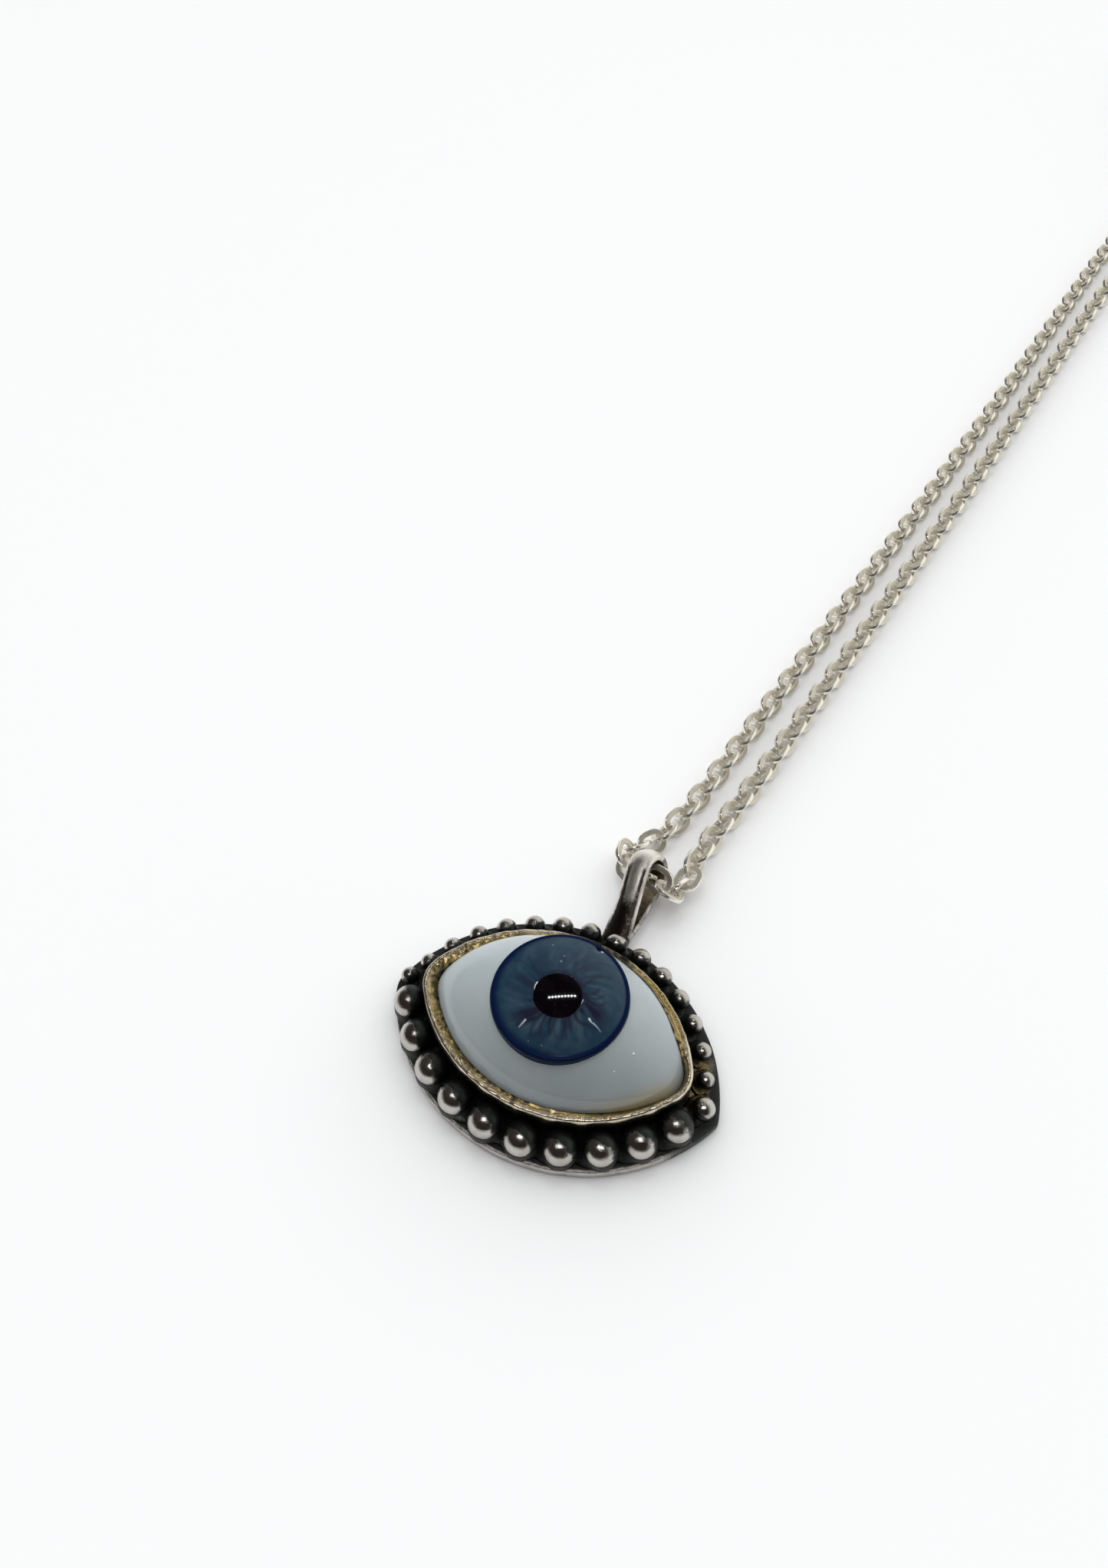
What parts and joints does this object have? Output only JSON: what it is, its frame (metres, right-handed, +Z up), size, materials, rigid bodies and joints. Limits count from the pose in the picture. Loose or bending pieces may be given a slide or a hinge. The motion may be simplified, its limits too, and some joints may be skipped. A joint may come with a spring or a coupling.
{
  "type": "glass eye pendant necklace",
  "caption": "Eye-shaped pendant with a glass eye in a beaded silver setting, hung by a bail on a cable chain that is a closed loop, lying flat.",
  "frame": {"origin": "on the flat back of the pendant's plate, under the middle of the bezel, on the surface that the necklace lies on", "axes": "+X to the pendant's right corner, +Y to the bail and the chain, +Z up out of the eye"},
  "size_m": [0.062, 0.2316, 0.0088],
  "materials": {
    "dark_silver": "blackened silver with worn bright edges",
    "white_glass": "opaque white glass, glossy",
    "blue_glass": "veined blue glass, glossy",
    "dark_glass": "near black glass, glossy",
    "silver": "polished silver"
  },
  "bodies": {
    "root": {"setting": "dark_silver", "eye_white": "white_glass", "iris": "blue_glass", "pupil": "dark_glass", "chain_left": "silver", "chain_right": "silver", "clasp": "silver"}
  },
  "joints": []
}
